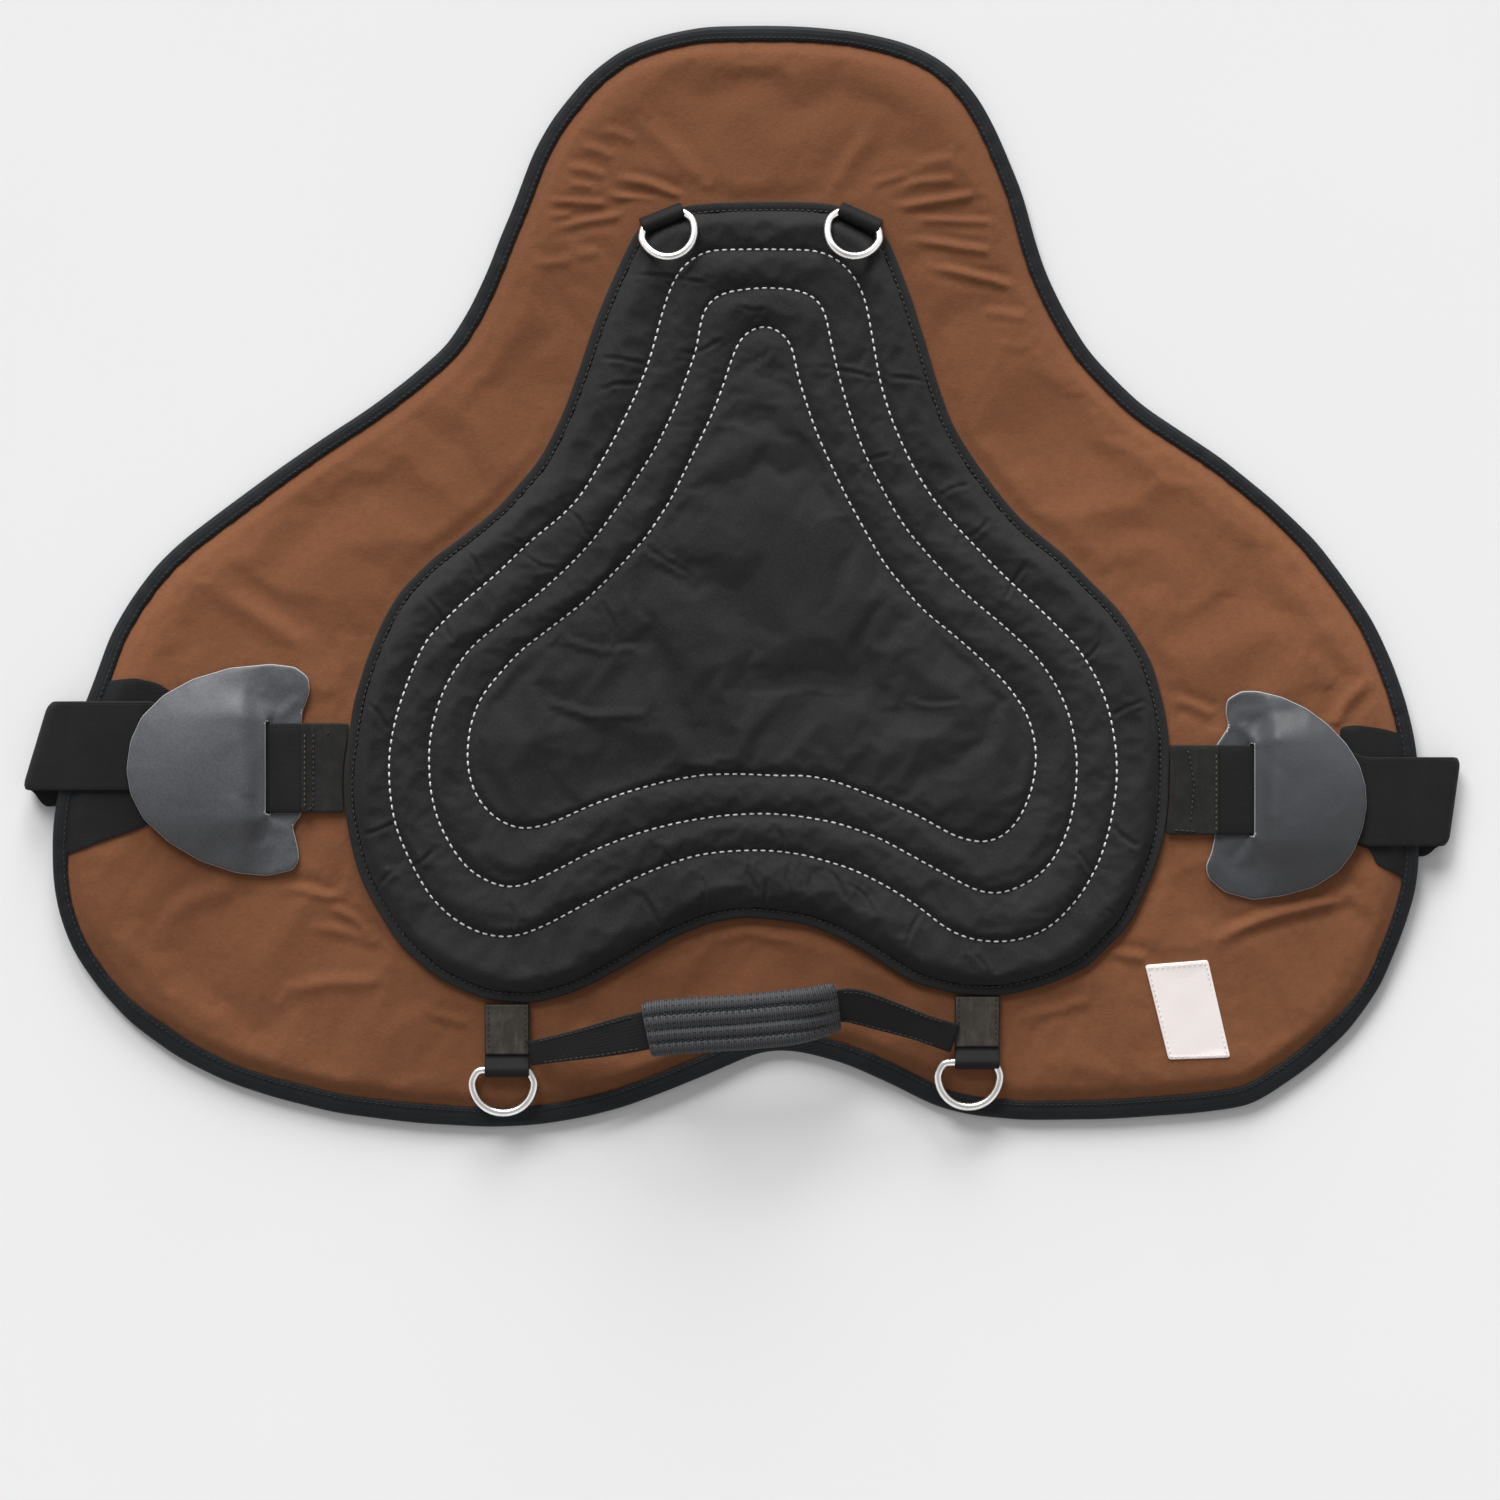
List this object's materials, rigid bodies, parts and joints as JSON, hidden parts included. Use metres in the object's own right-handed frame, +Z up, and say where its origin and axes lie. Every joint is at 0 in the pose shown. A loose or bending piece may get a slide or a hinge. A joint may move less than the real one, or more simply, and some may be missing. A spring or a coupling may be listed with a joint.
{
  "type": "bareback pad",
  "caption": "Padded bareback riding pad with a quilted non-slip seat, tie rings, a grab handle and leather-guarded girth buckles.",
  "frame": {"origin": "middle of the footprint, on the surface that the pad lies on", "axes": "+X to the rider's left, -Y to the front (the withers), +Z up out of the seat"},
  "size_m": [0.8078, 0.62, 0.0474],
  "materials": {
    "lining": "felted",
    "foam": "closed-cell foam",
    "brown_cover": "matt brushed, suede-like",
    "binding": "satin tape",
    "seat_fabric": "matt, non-slip",
    "thread": "twisted thread",
    "webbing": "woven nylon",
    "nickel": "bright plating",
    "sleeve": "ribbed weave",
    "label": "plain woven, bare",
    "leather": "semi-gloss, pressed grain"
  },
  "bodies": {
    "pad": {"lining": "lining", "foam_core": "foam", "top_cover": "brown_cover", "edge_binding": "binding", "seat_foam": "foam", "seat_panel": "seat_fabric", "seat_hem": "seat_fabric", "quilt_thread_outer": "thread", "quilt_thread_middle": "thread", "quilt_thread_inner": "thread", "front_left_ring_tab": "webbing", "front_right_ring_tab": "webbing", "rear_left_ring_tab": "webbing", "rear_right_ring_tab": "webbing", "label": "label", "left_girth_tab": "webbing", "left_guard_lip": "leather", "left_buckle_frame": "nickel", "left_girth_strap": "webbing", "left_edge_patch": "webbing", "right_girth_tab": "webbing", "right_guard_lip": "leather", "right_buckle_frame": "nickel", "right_girth_strap": "webbing", "right_edge_patch": "webbing"},
    "front_left_ring": {"front_left_ring": "nickel"},
    "front_right_ring": {"front_right_ring": "nickel"},
    "rear_left_ring": {"rear_left_ring": "nickel"},
    "rear_right_ring": {"rear_right_ring": "nickel"},
    "handle": {"handle_strap": "webbing", "handle_sleeve": "sleeve"},
    "left_guard": {"left_guard_flap": "leather"},
    "left_roller": {"left_buckle_roller": "nickel"},
    "left_tongue": {"left_buckle_tongue": "nickel"},
    "right_guard": {"right_guard_flap": "leather"},
    "right_roller": {"right_buckle_roller": "nickel"},
    "right_tongue": {"right_buckle_tongue": "nickel"}
  },
  "joints": [
    {"name": "front_left_ring_swing", "type": "hinge", "parent": "pad", "child": "front_left_ring", "pos_m": [0.13278, -0.27268, 0.01532], "axis": [-1, 0, 0], "range_deg": [0, 100]},
    {"name": "front_right_ring_swing", "type": "hinge", "parent": "pad", "child": "front_right_ring", "pos_m": [-0.13042, -0.27699, 0.01525], "axis": [-1, 0, 0], "range_deg": [0, 100]},
    {"name": "rear_left_ring_swing", "type": "hinge", "parent": "pad", "child": "rear_left_ring", "pos_m": [0.06656, 0.19842, 0.02288], "axis": [-0.9135, 0.4067, 0], "range_deg": [0, 140]},
    {"name": "rear_right_ring_swing", "type": "hinge", "parent": "pad", "child": "rear_right_ring", "pos_m": [-0.043, 0.19858, 0.02286], "axis": [-0.9272, -0.3746, 0], "range_deg": [0, 140]},
    {"name": "handle_swing", "type": "hinge", "parent": "pad", "child": "handle", "pos_m": [-0.11742, -0.26849, 0.0189], "axis": [0.9998, 0.0182, -0.0002], "range_deg": [-15, 60]},
    {"name": "left_guard_lift", "type": "hinge", "parent": "pad", "child": "left_guard", "pos_m": [0.28612, -0.12009, 0.02358], "axis": [0, -1, 0], "range_deg": [0, 70]},
    {"name": "right_guard_lift", "type": "hinge", "parent": "pad", "child": "right_guard", "pos_m": [-0.2637, -0.10778, 0.02375], "axis": [0, 1, 0], "range_deg": [0, 70]},
    {"name": "left_roller_spin", "type": "hinge", "parent": "pad", "child": "left_roller", "pos_m": [0.32712, -0.12009, 0.02021], "axis": [0, 1, 0], "continuous": true},
    {"name": "right_roller_spin", "type": "hinge", "parent": "pad", "child": "right_roller", "pos_m": [-0.3047, -0.10778, 0.02058], "axis": [0, 1, 0], "continuous": true},
    {"name": "left_tongue_swing", "type": "hinge", "parent": "pad", "child": "left_tongue", "pos_m": [0.30112, -0.12009, 0.02036], "axis": [0, -1, 0], "range_deg": [0, 5]},
    {"name": "right_tongue_swing", "type": "hinge", "parent": "pad", "child": "right_tongue", "pos_m": [-0.2787, -0.10778, 0.02042], "axis": [0, 1, 0], "range_deg": [0, 5]}
  ]
}
